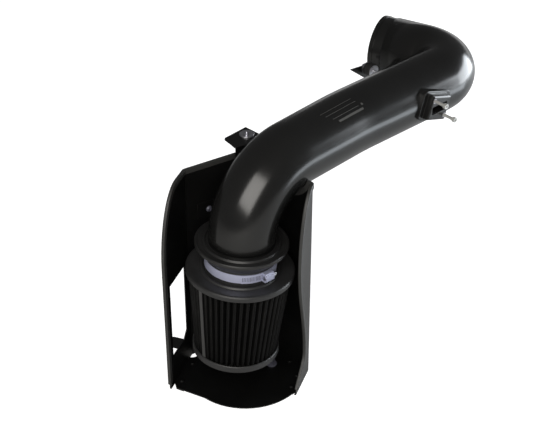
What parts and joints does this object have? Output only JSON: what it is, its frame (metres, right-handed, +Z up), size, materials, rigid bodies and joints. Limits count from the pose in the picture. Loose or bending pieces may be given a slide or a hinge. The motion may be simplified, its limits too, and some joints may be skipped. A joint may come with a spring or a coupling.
{
  "type": "cold air intake pipe",
  "caption": "Cold air intake: glossy black moulded pipe with a tight end bend and a sensor pad, on a cone filter in an open black sheet heat shield.",
  "frame": {"origin": "centre of the tray's mounting stud, in the plane that the heat shield stands on", "axes": "+Z up; +Y along the shield's side walls, away from its open front; +X towards the side wall below the sensor pad"},
  "size_m": [0.3824, 0.6289, 0.4372],
  "materials": {
    "tube_plastic": "smooth gloss black, rotomoulded",
    "adapter_rubber": "satin black, moulded",
    "cap_rubber": "satin black urethane, moulded",
    "pleated_media": "black pleated fibre with mesh",
    "seam_plastic": "matte",
    "clamp_steel": "plain, bright",
    "shield_coat": "black powder coat, fine texture",
    "edge_rubber": "matte, ribbed",
    "isolator_rubber": "matte",
    "zinc_steel": "zinc plated",
    "stainless": "bright",
    "black_steel": "black oxide",
    "brass": "plain"
  },
  "bodies": {
    "root": {"intake_tube": "tube_plastic", "sensor_inserts": "brass", "sensor_screws": "stainless", "tube_adapter": "adapter_rubber", "filter_top_cap": "cap_rubber", "filter_media": "pleated_media", "filter_seam_strip": "seam_plastic", "filter_bottom_cap": "cap_rubber", "clamp_band": "clamp_steel", "clamp_housing": "clamp_steel", "clamp_screw": "zinc_steel", "shield_wall": "shield_coat", "shield_tray": "shield_coat", "shield_trim": "edge_rubber", "tray_screws": "black_steel", "tray_stud": "zinc_steel", "tray_nut": "zinc_steel", "shield_bracket": "shield_coat", "bracket_bolts": "stainless", "bracket_nuts": "zinc_steel", "shield_isolator": "isolator_rubber", "shield_isolator_plates": "zinc_steel", "shield_isolator_washer": "zinc_steel", "tube_bracket": "shield_coat", "tube_bracket_bolt": "zinc_steel", "tube_bracket_insert": "brass", "tube_isolator": "isolator_rubber", "tube_isolator_plates": "zinc_steel", "tube_isolator_nut": "zinc_steel"}
  },
  "joints": []
}
